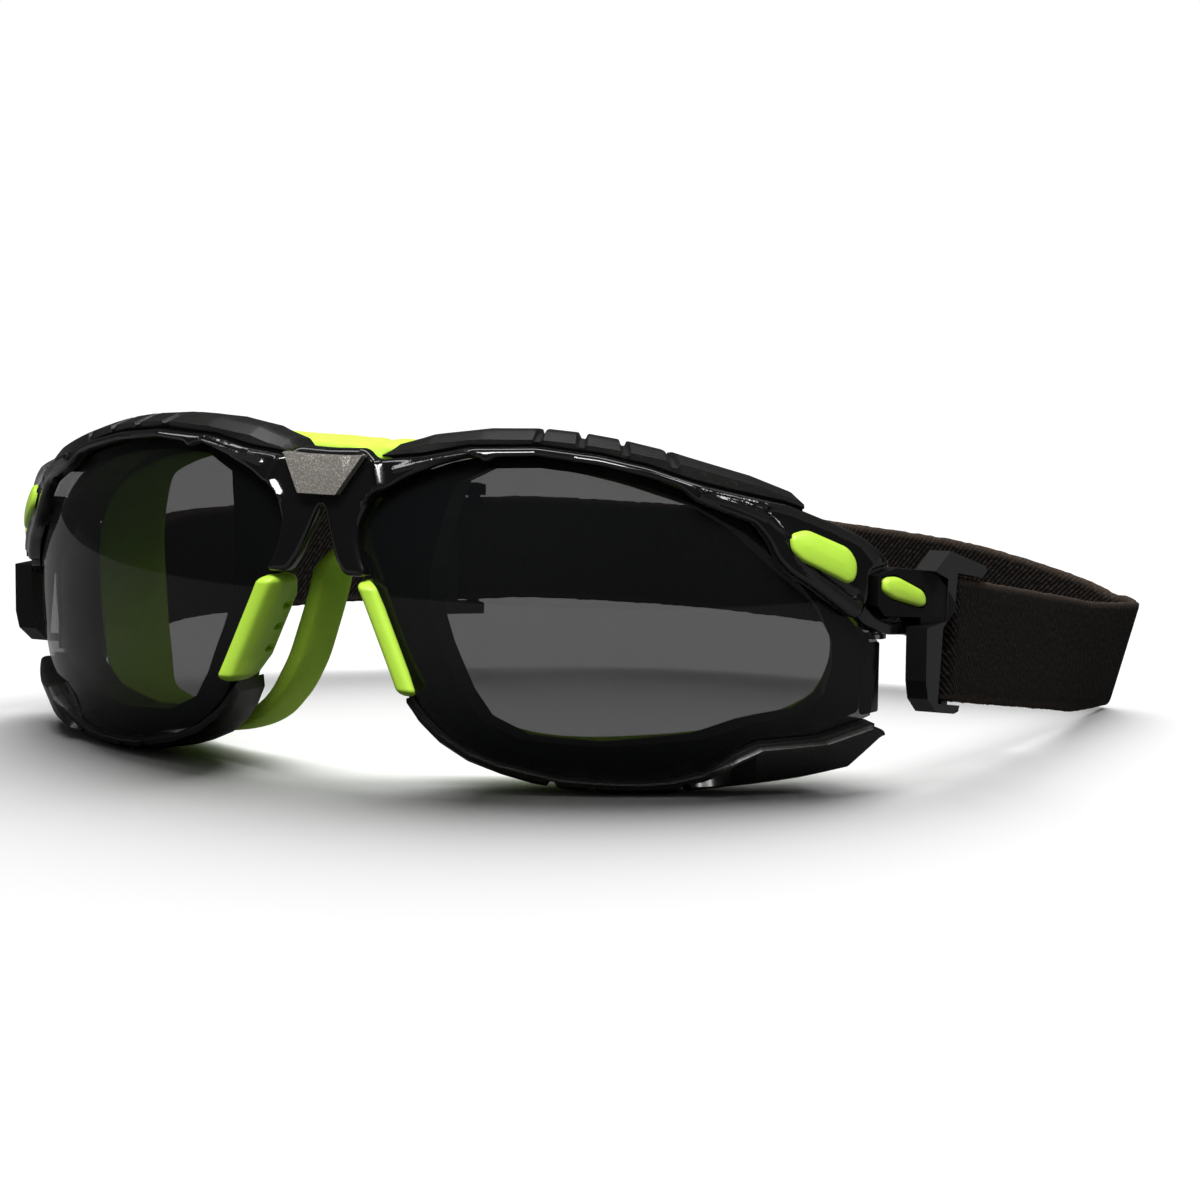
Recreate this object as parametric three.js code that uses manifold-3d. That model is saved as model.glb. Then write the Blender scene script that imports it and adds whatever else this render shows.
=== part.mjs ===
// Sealed safety goggles: two smoke lenses in a half-rim front frame, a snap-in carrier with a foam
// face seal behind them, and an elastic headband on two swivelling clips.
// Millimetres, +Z up. The front faces -Y and +X is the wearer's left.
import * as THREE from 'three';
import { mergeVertices } from 'three/addons/utils/BufferGeometryUtils.js';
import Module from 'manifold-3d';

const wasm = await Module();
wasm.setup();

// Driving dimensions
const LENS_RADIUS = 66;
const LENS_CENTRE = { x: 12.5, y: 39.9, z: 23.4 };
const LENS_THICKNESS = 2.2;
const DEPTH_CENTRE = 47.7;
const GAP = 0.3;
const FRAME_FACE = 2.2;
const CARRIER_BACK = -8.2;
const SEAL_FRONT = -8.8;
const SEAL_LEAN = 3;
const GUARD_BACK = -7;
const PLATE_EDGE = 7;
const STRAP_WIDTH = 18.4;
const STRAP_THICKNESS = 1.5;
const RING_TILT = THREE.MathUtils.degToRad(8.5);
const HINGE = { x: 69.7, y: 14.6, pinRadius: 0.92, boreRadius: 1, bossRadius: 2.1 };
const BAR = { x: 75.6, y: 28, z: 20.2, half: 0.8, length: 2.6 };

// The lens face is a sphere on each side of the nose, carried straight across the bridge.
// A place on it is u, the arc length from the lens centre towards the temple, z, the height, and
// d, the distance in front of the face.
function wrap(u, z, d) {
  const level = Math.sqrt((LENS_RADIUS + d) ** 2 - (z - LENS_CENTRE.z) ** 2);
  const turn = Math.max(u, 0) / LENS_RADIUS;
  const x = LENS_CENTRE.x + Math.min(u, 0) + level * Math.sin(turn);
  return new THREE.Vector3(x, LENS_CENTRE.y - level * Math.cos(turn), z);
}

// The same place on the whole front: v is measured from the centre of the nose, left positive.
function wrapAcross(v, z, d) {
  const point = wrap(Math.abs(v) - LENS_CENTRE.x, z, d);
  point.x *= Math.sign(v);
  return point;
}

// Mesh helpers

function signedVolume(points, faces) {
  const [a, b, c] = [new THREE.Vector3(), new THREE.Vector3(), new THREE.Vector3()];
  let total = 0;
  for (let i = 0; i < faces.length; i += 3) {
    a.copy(points[faces[i]]);
    b.copy(points[faces[i + 1]]);
    c.copy(points[faces[i + 2]]);
    total += a.dot(b.cross(c)) / 6;
  }
  return total;
}

function solid(points, faces) {
  if (signedVolume(points, faces) < 0) faces.reverse();
  const geometry = new THREE.BufferGeometry().setFromPoints(points);
  geometry.setIndex(faces);
  return mergeVertices(geometry, 1e-4);
}

// Rings of points joined one to the next. A closed path joins the last to the first, an open one
// gets a fan of triangles over each end.
function loft(rings, closedPath = false) {
  const size = rings[0].length;
  const points = rings.flat();
  const faces = [];
  const spans = closedPath ? rings.length : rings.length - 1;
  for (let i = 0; i < spans; i += 1) {
    const here = i * size;
    const next = ((i + 1) % rings.length) * size;
    for (let j = 0; j < size; j += 1) {
      const k = (j + 1) % size;
      faces.push(here + j, next + j, next + k, here + j, next + k, here + k);
    }
  }
  if (!closedPath) {
    for (const [ring, flip] of [[0, false], [rings.length - 1, true]]) {
      const middle = new THREE.Vector3();
      for (const point of rings[ring]) middle.addScaledVector(point, 1 / size);
      points.push(middle);
      for (let j = 0; j < size; j += 1) {
        const k = (j + 1) % size;
        const fan = [points.length - 1, ring * size + j, ring * size + k];
        faces.push(...(flip ? fan.reverse() : fan));
      }
    }
  }
  return solid(points, faces);
}

function mapPoints(geometry, place) {
  const plain = geometry.clone();
  plain.deleteAttribute('normal');
  plain.deleteAttribute('uv');
  const merged = mergeVertices(plain, 1e-4);
  const position = merged.getAttribute('position');
  const points = [];
  for (let i = 0; i < position.count; i += 1) {
    points.push(place(position.getX(i), position.getY(i), position.getZ(i)));
  }
  return solid(points, Array.from(merged.index.array));
}

function pairs(list) {
  return list.map(([a, b]) => new THREE.Vector2(a, b));
}

// A smooth open run through the points, and a polygon cut into steps short enough to bend.
function smooth(list, count) {
  return new THREE.SplineCurve(pairs(list)).getSpacedPoints(count).map((p) => [p.x, p.y]);
}

function divide(list, step = 2.5) {
  const result = [];
  list.forEach((start, i) => {
    const end = list[(i + 1) % list.length];
    const parts = Math.max(1, Math.ceil(Math.hypot(end[0] - start[0], end[1] - start[1]) / step));
    for (let k = 0; k < parts; k += 1) {
      const t = k / parts;
      result.push([start[0] + (end[0] - start[0]) * t, start[1] + (end[1] - start[1]) * t]);
    }
  });
  return result;
}

// Halves every edge longer than the limit, and cuts its triangles to suit, until none is left.
function refine(geometry, limit) {
  const position = geometry.getAttribute('position');
  const points = [];
  for (let i = 0; i < position.count; i += 1) points.push(new THREE.Vector3().fromBufferAttribute(position, i));
  let faces = Array.from(geometry.index.array);
  let changed = true;
  while (changed) {
    const halves = new Map();
    const half = (a, b) => {
      if (points[a].distanceTo(points[b]) <= limit) return -1;
      const key = a < b ? `${a} ${b}` : `${b} ${a}`;
      if (!halves.has(key)) halves.set(key, points.push(points[a].clone().lerp(points[b], 0.5)) - 1);
      return halves.get(key);
    };
    const next = [];
    for (let i = 0; i < faces.length; i += 3) {
      const corners = faces.slice(i, i + 3);
      const middles = corners.map((corner, k) => half(corner, corners[(k + 1) % 3]));
      next.push(...splitTriangle(corners, middles));
    }
    faces = next;
    changed = halves.size > 0;
  }
  const refined = new THREE.BufferGeometry().setFromPoints(points);
  refined.setIndex(faces);
  return refined;
}

// A triangle with a new point on none, one, two or three of its edges, where -1 means none.
function splitTriangle([a, b, c], [ab, bc, ca]) {
  const count = [ab, bc, ca].filter((middle) => middle >= 0).length;
  if (count === 0) return [a, b, c];
  if (count === 3) return [a, ab, ca, ab, b, bc, ca, bc, c, ab, bc, ca];
  if (count === 1) {
    if (ab >= 0) return [a, ab, c, ab, b, c];
    return splitTriangle([b, c, a], [bc, ca, ab]);
  }
  if (ca < 0) return [ab, b, bc, a, ab, c, ab, bc, c];
  return splitTriangle([b, c, a], [bc, ca, ab]);
}

// A flat outline given a thickness from d0 to d1 and laid on the wrapped front.
function plate(outline, d0, d1, holes = [], place = wrap) {
  const shape = new THREE.Shape(pairs(divide(outline)));
  shape.holes = holes.map((hole) => new THREE.Path(pairs(divide(hole))));
  const flat = new THREE.ExtrudeGeometry(shape, { depth: 1, bevelEnabled: false });
  const closed = mapPoints(flat, (u, z, t) => new THREE.Vector3(u, z, t));
  return mapPoints(refine(closed, PLATE_EDGE), (u, z, t) => place(u, z, d0 + t * (d1 - d0)));
}

// A profile of [z, d] points, which may change with u, carried along the wrapped front.
function rail(stations, profile) {
  return loft(stations.map((u) => profile(u).map(([z, d]) => wrap(u, z, d))));
}

function interpolate(table, u) {
  const last = table.length - 1;
  if (u <= table[0][0]) return table[0][1];
  if (u >= table[last][0]) return table[last][1];
  const i = table.findIndex((row) => row[0] > u);
  const [[u0, a], [u1, b]] = [table[i - 1], table[i]];
  return a + ((b - a) * (u - u0)) / (u1 - u0);
}

function mirrored(geometry) {
  return mapPoints(geometry, (x, y, z) => new THREE.Vector3(-x, y, z));
}

function toManifold(geometry) {
  const merged = mapPoints(geometry, (x, y, z) => new THREE.Vector3(x, y, z));
  return new wasm.Manifold(new wasm.Mesh({
    numProp: 3,
    vertProperties: new Float32Array(merged.getAttribute('position').array),
    triVerts: new Uint32Array(merged.index.array),
  }));
}

function fromManifold(manifold) {
  const mesh = manifold.getMesh();
  const geometry = new THREE.BufferGeometry();
  geometry.setAttribute('position', new THREE.BufferAttribute(new Float32Array(mesh.vertProperties), 3));
  geometry.setIndex(Array.from(mesh.triVerts));
  return mergeVertices(geometry, 1e-4);
}

function join(first, ...others) {
  return fromManifold(others.reduce((sum, item) => sum.add(toManifold(item)), toManifold(first)));
}

function cut(first, ...others) {
  return fromManifold(others.reduce((sum, item) => sum.subtract(toManifold(item)), toManifold(first)));
}

function box(low, high) {
  const size = high.map((value, i) => value - low[i]);
  const geometry = new THREE.BoxGeometry(...size);
  return geometry.translate(...low.map((value, i) => value + size[i] / 2));
}

function post(x, y, z0, z1, radius, sides = 16) {
  const geometry = new THREE.CylinderGeometry(radius, radius, z1 - z0, sides);
  return geometry.rotateX(Math.PI / 2).translate(x, y, (z0 + z1) / 2);
}

// Outlines on the wrapped front, as [u, z]

const FRAME_TOP = [
  [-12.5, 48], [-7, 48.2], [-5.2, 46.7], [2, 47.5], [9, 48.9], [20, 49.3], [29.5, 48.3], [36.8, 46.8],
  [43.2, 44.8], [48.6, 43.5], [57.5, 41.6], [65.3, 38.6], [69.6, 36.8], [72.8, 34.4], [74.3, 32.5],
];
const FRAME_TEMPLE_END = [[70.3, 31.9], [69.9, 28], [68.4, 25.2]];
const FRAME_UNDER = [
  [66.6, 25.4], [60.4, 29.8], [57, 31.9], [55.2, 33.8], [54, 36.5], [52, 39], [47.6, 40.6], [43.3, 42.2],
  [41, 44.2], [36.8, 45.4], [29.5, 47], [20, 48.1], [13.6, 47.8], [12.6, 46.9], [10.9, 47.9], [5.1, 46.4],
  [0.2, 44.4], [-4.6, 41.3], [-6.2, 37.8], [-6, 35], [-5.2, 32.4], [-4.2, 30.2], [-7.9, 30.2],
  [-9.3, 32.3], [-10.7, 35.9], [-11.6, 38.6],
];
const LENS_TOP = [
  [-7.6, 37.5], [-5.6, 41.4], [0.2, 45.2], [5.4, 46.9], [12, 48.2], [20, 48.5], [29.5, 47.5], [36.8, 45.9],
  [44, 43.4], [52, 40.4], [59, 36.8], [65, 32], [68.6, 27.6],
];
const LENS_TEMPLE = [[69.9, 24.6], [73.4, 21.4], [73.8, 15], [73.4, 10.4]];
const LENS_UNDER = [
  [72.4, 10.1], [64.7, 8.3], [54, 7.9], [50.6, 6.4], [46, 3.4], [41, 2.4], [36.5, 2.1], [30, 2.2],
  [24.3, 2.6], [15.3, 4.5], [10.5, 6.2], [6.4, 8.9], [3.8, 11.6], [2.6, 14],
];
const OPENING = [
  [6.6, 43.6], [5, 38.4], [3.8, 31.3], [3.8, 25.6], [5.5, 21], [9, 13.9], [12, 10], [18.3, 7.4],
  [30.3, 6.6], [46, 7.8], [54, 9.9], [62.5, 11], [66, 13.6], [67, 18], [66.7, 21.4], [64.2, 26.5],
  [59, 32], [52, 37.4], [44, 41.4], [36.5, 44], [29.5, 45.3], [20, 46.2], [12, 45.9],
];
const BROW_TOP = [
  [-5, 47.4], [-3.4, 48.8], [2.1, 50.4], [10.9, 51.4], [19.9, 51.6], [26.8, 51.1], [33.4, 50.2],
  [41.1, 48.7], [53.3, 45.5], [60, 43.1], [61, 42.2],
];
const BUMPER_UNDER = [
  [1.4, 12.1], [3.4, 9], [6.1, 6.4], [10, 4.1], [15.1, 2.4], [20, 1.2], [24.3, 0.6], [31, 0], [42, 0],
  [45.8, 0.5], [54, 1], [62.3, 1.6], [69.3, 2.4], [75.2, 7],
];
const BUMPER_INNER = [
  [1.4, 13.6], [3.6, 11], [6.2, 8.4], [10.3, 5.8], [15.1, 4.1], [24.3, 2.2], [31, 1.8], [36.5, 1.7],
  [41, 2], [46, 3], [50.5, 5.9], [54, 7.4], [64.7, 7.8], [72.6, 9.6], [75.2, 8.6],
];
const INLAY = [
  [56.9, 37.6], [59.6, 38.2], [66.3, 35.4], [67.5, 33.4], [67.2, 31.1], [66, 30.2], [58.3, 33.9], [56.9, 35.4],
];
const BUTTON = [
  [71.9, 31], [74.5, 31], [79.7, 28.6], [80.2, 26.8], [79.2, 26.2], [73.6, 27.8], [71.7, 29],
];
const BROW_GROOVES = [19.9, 26.6, 33.3, 40.6];
const BUMPER_GROOVES = [23, 29.2, 43.2];

function lensOutline() {
  return [...LENS_TOP, ...LENS_TEMPLE, ...LENS_UNDER].reverse();
}

function grown(outline, hole, amount) {
  return outline.map(([u, z]) => {
    const toU = hole.u - u;
    const toZ = hole.z - z;
    const length = Math.hypot(toU, toZ);
    return [u - (toU / length) * amount, z - (toZ / length) * amount];
  });
}

// The lens is a grid between its lower and its upper edge, so that it follows the sphere closely.
function lens() {
  const across = 26;
  const upward = 10;
  const lower = smooth([...LENS_UNDER.slice().reverse(), [73.4, 10.4]], across);
  const upper = smooth([...LENS_TOP, [69.9, 24.6], [73.4, 21.4]], across);
  const rings = [];
  for (let i = 0; i <= across; i += 1) {
    const column = [];
    for (let j = 0; j <= upward; j += 1) {
      const t = j / upward;
      column.push([
        lower[i][0] + (upper[i][0] - lower[i][0]) * t,
        lower[i][1] + (upper[i][1] - lower[i][1]) * t,
      ]);
    }
    const front = column.map(([u, z]) => wrap(u, z, 0));
    const back = column.map(([u, z]) => wrap(u, z, -LENS_THICKNESS)).reverse();
    rings.push([...front, ...back]);
  }
  return loftStrips(rings, upward + 1);
}

// Like loft, but each end is closed by a strip between its front and its back row.
function loftStrips(rings, rowLength) {
  const size = rings[0].length;
  const faces = [];
  for (let i = 0; i < rings.length - 1; i += 1) {
    for (let j = 0; j < size; j += 1) {
      const k = (j + 1) % size;
      const [a, b] = [i * size, (i + 1) * size];
      faces.push(a + j, b + j, b + k, a + j, b + k, a + k);
    }
  }
  for (const [ring, flip] of [[0, false], [rings.length - 1, true]]) {
    const start = ring * size;
    for (let j = 0; j < rowLength - 1; j += 1) {
      const [p, q, r, s] = [start + j, start + j + 1, start + size - 1 - j, start + size - 2 - j];
      const strip = [p, q, s, p, s, r];
      faces.push(...(flip ? strip.reverse() : strip));
    }
  }
  return solid(rings.flat(), faces);
}

// Glossy half-rim front: bridge, nose legs, thin bars over the lenses, end pieces and hinge lugs.
function hingeLugs() {
  const upperLink = plate([[68.3, 29.7], [78, 29.7], [78, 31.2], [68.3, 31.2]], -5.6, -1.9);
  const upperWeb = plate([[68.3, 29.7], [69.9, 29.7], [69.9, 31.2], [68.3, 31.2]], -5.6, 1);
  const lowerStrip = plate([[67.2, 22.4], [77.8, 22.4], [77.8, 24], [67.2, 24]], GAP + 0.2, 1.6);
  const lowerWeb = plate([[67.2, 23], [68.8, 23], [68.8, 26.4], [67.2, 26.4]], GAP + 0.2, 1.6);
  const lowerLug = plate([[74.6, 22.4], [77.8, 22.4], [77.8, 24], [74.6, 24]], -5.6, 1);
  return [upperLink, upperWeb, lowerStrip, lowerWeb, lowerLug];
}

function frontFrame() {
  const half = [...FRAME_TOP, ...FRAME_TEMPLE_END, ...FRAME_UNDER].map(([u, z]) => [u + LENS_CENTRE.x, z]);
  const right = half.slice(1).map(([v, z]) => [-v, z]).reverse();
  const arch = [[0, 40.4]];
  const outline = [...half, ...arch, ...right];
  const front = plate(outline, GAP + 0.1, FRAME_FACE, [], wrapAcross);
  const lugs = hingeLugs();
  const bore = post(HINGE.x, HINGE.y, 20, 34, HINGE.boreRadius);
  const left = lugs.map((lug) => cut(lug, bore));
  return join(front, ...left, ...left.map(mirrored));
}

// Satin trapezium over the middle of the bridge, proud of the frame.
function bridgePlate() {
  const outline = [[-6.5, 47.4], [-3.1, 41.7], [3.1, 41.7], [6.5, 47.4], [3, 47.2], [-3, 47.2]];
  return plate(outline, FRAME_FACE + GAP, FRAME_FACE + 1.9, [], wrapAcross);
}

// Carrier: one ring behind each lens, tied together by a bar behind the bridge. Towards the temple
// the ring widens to the rear, most at its lower corner.
function flared(u, z, d) {
  const behind = (-LENS_THICKNESS - GAP - d) / (-LENS_THICKNESS - GAP - CARRIER_BACK);
  const low = THREE.MathUtils.clamp((23 - z) / 3, 0, 1);
  const wide = 0.58 * Math.max(Math.min(u, 67.5) - 59, 0) + 0.6 * Math.max(u - 67.5, 0) * low;
  return wrap(u + wide * behind, z, d);
}

function gasketCarrier() {
  const middle = { u: 34, z: 26 };
  const outline = grown(lensOutline(), middle, -0.5);
  const ring = plate(outline, CARRIER_BACK, -LENS_THICKNESS - GAP, [OPENING], flared);
  const tie = plate([[-14, 41], [14, 41], [14, 45], [-14, 45]], CARRIER_BACK + 0.5, -3, [], wrapAcross);
  return join(ring, mirrored(ring), tie);
}

function grooveDepth(u, grooves) {
  return grooves.some((centre) => Math.abs(u - centre) < 0.5) ? 0.8 : 0;
}

function grooveStations(from, to, count, grooves) {
  const stations = [];
  for (let i = 0; i <= count; i += 1) stations.push(from + ((to - from) * i) / count);
  const clear = stations.filter((u) => grooves.every((centre) => Math.abs(u - centre) > 1.1));
  for (const centre of grooves) clear.push(centre - 0.8, centre - 0.45, centre + 0.45, centre + 0.8);
  return clear.sort((a, b) => a - b);
}

function browGuard() {
  return rail(grooveStations(-4.6, 60.6, 30, BROW_GROOVES), (u) => {
    const top = interpolate(BROW_TOP, u) - grooveDepth(u, BROW_GROOVES);
    const bottom = Math.min(interpolate(FRAME_TOP, u) + GAP, top - 0.3);
    const chamfer = Math.min(1.2, (top - bottom) * 0.6);
    return [[bottom, GUARD_BACK], [bottom, 0.9], [top - chamfer, 0.9], [top, -1.2], [top, GUARD_BACK]];
  });
}

function bumper() {
  const stations = [...grooveStations(1.6, 74.9, 36, BUMPER_GROOVES), 31.5, 41.8].sort((a, b) => a - b);
  return rail(stations, (u) => {
    const under = interpolate(BUMPER_UNDER, u) + grooveDepth(u, BUMPER_GROOVES);
    const inner = Math.max(interpolate(BUMPER_INNER, u) - GAP, under + 0.5);
    const beak = 1.4 * THREE.MathUtils.smoothstep(u, 44, 53);
    const lip = Math.min(0.8, (inner - under) / 2);
    const front = 0.8 + beak;
    return [[under, GUARD_BACK], [under, -0.4], [under + lip, front], [inner, front], [inner, GUARD_BACK]];
  });
}

// Foam face seal: a ring behind each carrier ring, deeper at the temples, joined over the nose.
const SEAL = [
  [-9.4, 30, 8], [-8.6, 26, 8], [-7, 20.6, 8], [-4.6, 14.6, 8], [-0.5, 8.9, 8], [5.4, 5.1, 8.6], [14, 2.8, 9],
  [25, 1.8, 10], [37, 2.1, 11.5], [49, 3.6, 13], [60, 6, 14], [70, 9.8, 14.5], [74.8, 16.6, 15],
  [74, 23.6, 15], [69.4, 29.8, 14.5], [61.6, 36.2, 14], [52, 41.4, 13], [42, 44.9, 12], [32, 47.4, 11],
  [21, 48.6, 10], [10, 48.9, 9], [0, 48.8, 8], [-8, 48.6, 8], [-13.6, 47.6, 8], [-13.6, 40, 8],
  [-13.4, 34.6, 8], [-11.4, 32.6, 8],
];

function faceSeal() {
  const width = 4.8;
  const centre = { u: 32, z: 26 };
  const path = new THREE.CatmullRomCurve3(SEAL.map((p) => new THREE.Vector3(...p)), true, 'centripetal');
  const rings = path.getSpacedPoints(64).slice(0, -1).map(({ x: u, y: z, z: depth }) => {
    const inwards = new THREE.Vector2(centre.u - u, centre.z - z).normalize();
    const [iu, iz] = [u + inwards.x * width, z + inwards.y * width];
    const front = wrap(u + inwards.x, z + inwards.y, SEAL_FRONT);
    const frontInner = wrap(iu - inwards.x, iz - inwards.y, SEAL_FRONT);
    const rearwards = new THREE.Vector3(-SEAL_LEAN * THREE.MathUtils.smoothstep(u, 40, 70), depth, 0);
    const back = wrap(u, z, SEAL_FRONT).add(rearwards);
    const backInner = wrap(iu, iz, SEAL_FRONT).add(rearwards);
    return [front, back, backInner, frontInner];
  });
  const left = loft(rings, true);
  return join(left, mirrored(left));
}

// Nose pad: a soft blade along the inner lens edge, leaning with the side of the nose.
function nosePad() {
  const steps = 8;
  const rings = [];
  for (let i = 0; i <= steps; i += 1) {
    const t = i / steps;
    const z = 29.6 - 16.2 * t;
    const x = 6.2 + 7.2 * t;
    const ends = Math.min(1, 0.55 + 4 * Math.min(t, 1 - t));
    const bulge = 0.8 * Math.sin(Math.PI * t);
    const front = -28.2;
    const back = front + 9.8 * ends;
    rings.push([
      [x + 0.6, front], [x, front + 1], [x - bulge, (front + back) / 2], [x + 0.3, back], [x + 1.4, back],
      [x + 1.6, -26.6], [x + 3.2, -26.6], [x + 3.2, front + 0.6], [x + 2.6, front],
    ].map(([px, py]) => new THREE.Vector3(px, py, z)));
  }
  return loft(rings);
}

// Strap clip: the arm with its button pocket and hinge boss, and the tilted ring for the webbing.
const ARM = [
  [70.7, 27], [70.9, 31.2], [74.3, 32.2], [80.2, 31.5], [82.3, 31.2], [84.6, 29], [87.5, 25.7], [84, 22.8],
  [79.2, 22.8], [79, 24.8], [72, 25.4],
];
// Side outline of the webbing ring as [backwards, up] from the middle of its bar.
const RING = [
  [-14.4, 9.4], [-8.5, 12.7], [7.9, 11.5], [8.2, 10.7], [6.6, 9.7], [-4.7, 9.7], [-4.7, 4.4], [-9.2, 1.4],
  [-9, -9.7], [0.6, -9.7], [0.2, -10.6], [-1.6, -11], [-9.5, -11], [-13.4, -9.2], [-14.8, -6.6],
  [-16.1, 1], [-8.2, 2.4], [-8.6, 8.6],
];
const ARM_INNER = -1;
const ARM_OUTER = 2.9;
const POCKET_FLOOR = -0.2;

function clip() {
  const arm = plate(ARM, ARM_INNER, ARM_OUTER);
  const pocket = plate(grown(BUTTON, { u: 76, z: 28.7 }, GAP), POCKET_FLOOR, ARM_OUTER + 2);
  const boss = post(HINGE.x, HINGE.y, 24.3, 29.4, HINGE.bossRadius);
  const neck = box([HINGE.x, HINGE.y - 1.6, 24.7], [74.4, HINGE.y + 1.6, 29]);
  const bore = post(HINGE.x, HINGE.y, 20, 34, HINGE.boreRadius);
  const knuckle = cut(join(boss, neck), bore);
  const ring = plate(RING, -0.2, 3, [], (back, up, out) => new THREE.Vector3(out, back, up));
  const bar = box([-BAR.half, -BAR.length / 2, -10.1], [BAR.half, BAR.length / 2, 10.1]);
  const loop = join(ring, bar).rotateX(-RING_TILT).translate(BAR.x, BAR.y, BAR.z);
  return cut(join(arm, knuckle, loop), pocket);
}

function releaseButton() {
  return plate(BUTTON, 1.5, 3.4);
}

function latchLeaf() {
  return plate([[73.6, 29], [78.6, 27.4], [78.6, 28.2], [73.6, 29.8]], POCKET_FLOOR + GAP, 0.35);
}

function hingePin() {
  const shaft = post(HINGE.x, HINGE.y, 21.9, 31.9, HINGE.pinRadius);
  const lowerHead = post(HINGE.x, HINGE.y, 21.3, 22.05, HINGE.pinRadius + 0.7);
  const upperHead = post(HINGE.x, HINGE.y, 31.55, 32.2, HINGE.pinRadius + 0.7);
  return join(shaft, lowerHead, upperHead);
}

// Webbing: a flat ribbon along points of [x, y, z, lean, spread], its width standing up, leaning
// backwards by lean and to the left by spread.
function ribbon(route, width = STRAP_WIDTH, thickness = STRAP_THICKNESS) {
  const points = route.map(([x, y, z]) => new THREE.Vector3(x, y, z));
  const rings = points.map((point, i) => {
    const ahead = points[Math.min(i + 1, points.length - 1)];
    const behind = points[Math.max(i - 1, 0)];
    const along = ahead.clone().sub(behind);
    const across = new THREE.Vector3(along.y, -along.x, 0).normalize();
    const [, , , lean, spread = 0] = route[i];
    const up = new THREE.Vector3(Math.tan(spread), Math.tan(lean), 1).normalize();
    return [[-1, -1], [1, -1], [1, 1], [-1, 1]].map(([s, w]) => point.clone()
      .addScaledVector(across, (s * thickness) / 2)
      .addScaledVector(up, (w * width) / 2));
  });
  return loft(rings);
}

// The middle of the webbing, from the left clip round the back of the head to the right clip.
const BEND = { x: 73.75, y: 112, z: 9, radius: 3, rise: 0.9, lean: 0.28, spread: 0.19 };
const NEAR_SLOPE = -0.148;
const BAND_BACK = [
  [65, 118, 12.2, 0.2, 0.1], [46, 121.2, 16.2, 0, 0], [25, 121.8, 18.2, 0], [4, 122.8, 19.4, 0],
  [-14, 119.4, 20.2, 0],
];
const SLIDER = { x: -43.4, y: 97.2, z: 21.2, direction: [-0.73, -0.6834], travel: 8 };
const BAND_FAR = [[-61.8, 78.6, 20.8, 0], [-68.6, 65, 20.4, 0]];

function nearPoint(x, y, lean = RING_TILT, spread = 0) {
  return [x, y, BAR.z + (y - BAR.y) * NEAR_SLOPE, lean, spread];
}

// A smooth run through points of [x, y, z, lean, spread].
function spline(list, count) {
  const places = list.map(([x, y, z]) => new THREE.Vector3(x, y, z));
  const place = new THREE.CatmullRomCurve3(places, false, 'centripetal');
  const result = [];
  for (let i = 0; i <= count; i += 1) {
    const t = i / count;
    const whole = Math.min(Math.floor(t * (list.length - 1)), list.length - 2);
    const part = t * (list.length - 1) - whole;
    const point = place.getPoint(t);
    const turns = [3, 4].map((k) => (list[whole][k] ?? 0) * (1 - part) + (list[whole + 1][k] ?? 0) * part);
    result.push([point.x, point.y, point.z, ...turns]);
  }
  return result;
}

function alongSlider(distance, offset = 0) {
  const [x, y] = SLIDER.direction;
  return [SLIDER.x + x * distance + y * offset, SLIDER.y + y * distance - x * offset, SLIDER.z, 0];
}

function strapBand() {
  const route = [nearPoint(77.5, 62.5), nearPoint(77.4, 76, 0.17, 0.03), nearPoint(77.2, 92, 0.22, 0.11)];
  const steps = 6;
  for (let i = 0; i <= steps; i += 1) {
    const angle = (THREE.MathUtils.degToRad(112) * i) / steps;
    const x = BEND.x + BEND.radius * Math.cos(angle);
    const y = BEND.y + BEND.radius * Math.sin(angle);
    route.push([x, y, BEND.z + BEND.rise * (i / steps), BEND.lean, BEND.spread]);
  }
  const back = spline([...BAND_BACK, alongSlider(-16), alongSlider(0), alongSlider(16), ...BAND_FAR], 40);
  return ribbon([...route, ...back]);
}

// The webbing's turn round a clip's bar, from one side of it to the other.
function turnRoundBar(side, from, to) {
  const radius = BAR.half + GAP + STRAP_THICKNESS / 2;
  const route = [];
  const steps = 8;
  for (let i = 0; i <= steps; i += 1) {
    const angle = THREE.MathUtils.degToRad(from + ((to - from) * i) / steps);
    const y = BAR.y - BAR.length / 2 - radius * Math.sin(angle);
    route.push([side * (BAR.x + radius * Math.cos(angle)), y, nearPoint(0, y)[2], RING_TILT]);
  }
  return route;
}

// Left end: the webbing turns round the bar and is sewn back on itself.
function strapEndLeft() {
  const outer = [[77.5, 62], [77.49, 52], [77.47, 42], [77.45, BAR.y + 2]].map(([x, y]) => nearPoint(x, y));
  const inner = [[73.75, BAR.y + 1.8], [74.3, 34.5], [75.3, 39], [75.75, 43.5], [75.75, 60]];
  return ribbon([...outer, ...turnRoundBar(1, 0, 180), ...inner.map(([x, y]) => nearPoint(x, y))]);
}

// Right end: the band turns round the bar and comes back outside to the slider.
function strapEndRight() {
  const lean = (y) => RING_TILT * (1 - THREE.MathUtils.smoothstep(y, BAR.y, 62));
  const level = ([x, y, z]) => [x, y, z, lean(y)];
  const inner = [[-69.6, 62.4, 20.4], [-71.7, 53, 20.2], [-73.2, 41.5, 19.1], [-73.75, BAR.y + 3, 19.75]];
  const outer = [[-77.4, BAR.y + 3, 19.75], [-76.2, 42, 19.1], [-73.9, 54.5, 20.2], [-71.8, 62.6, 20.4]];
  return ribbon([...inner.map(level), ...turnRoundBar(-1, 180, 0), ...outer.map(level)]);
}

function returnLayer() {
  const offset = STRAP_THICKNESS + GAP + 0.1;
  const end = alongSlider(SLIDER.travel + 7.5, offset);
  return ribbon(spline([[-71.2, 65.9, 20.4, 0], [-67.3, 73.4, 20.6, 0], [-63.4, 79.8, 20.8, 0], end], 8));
}

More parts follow.
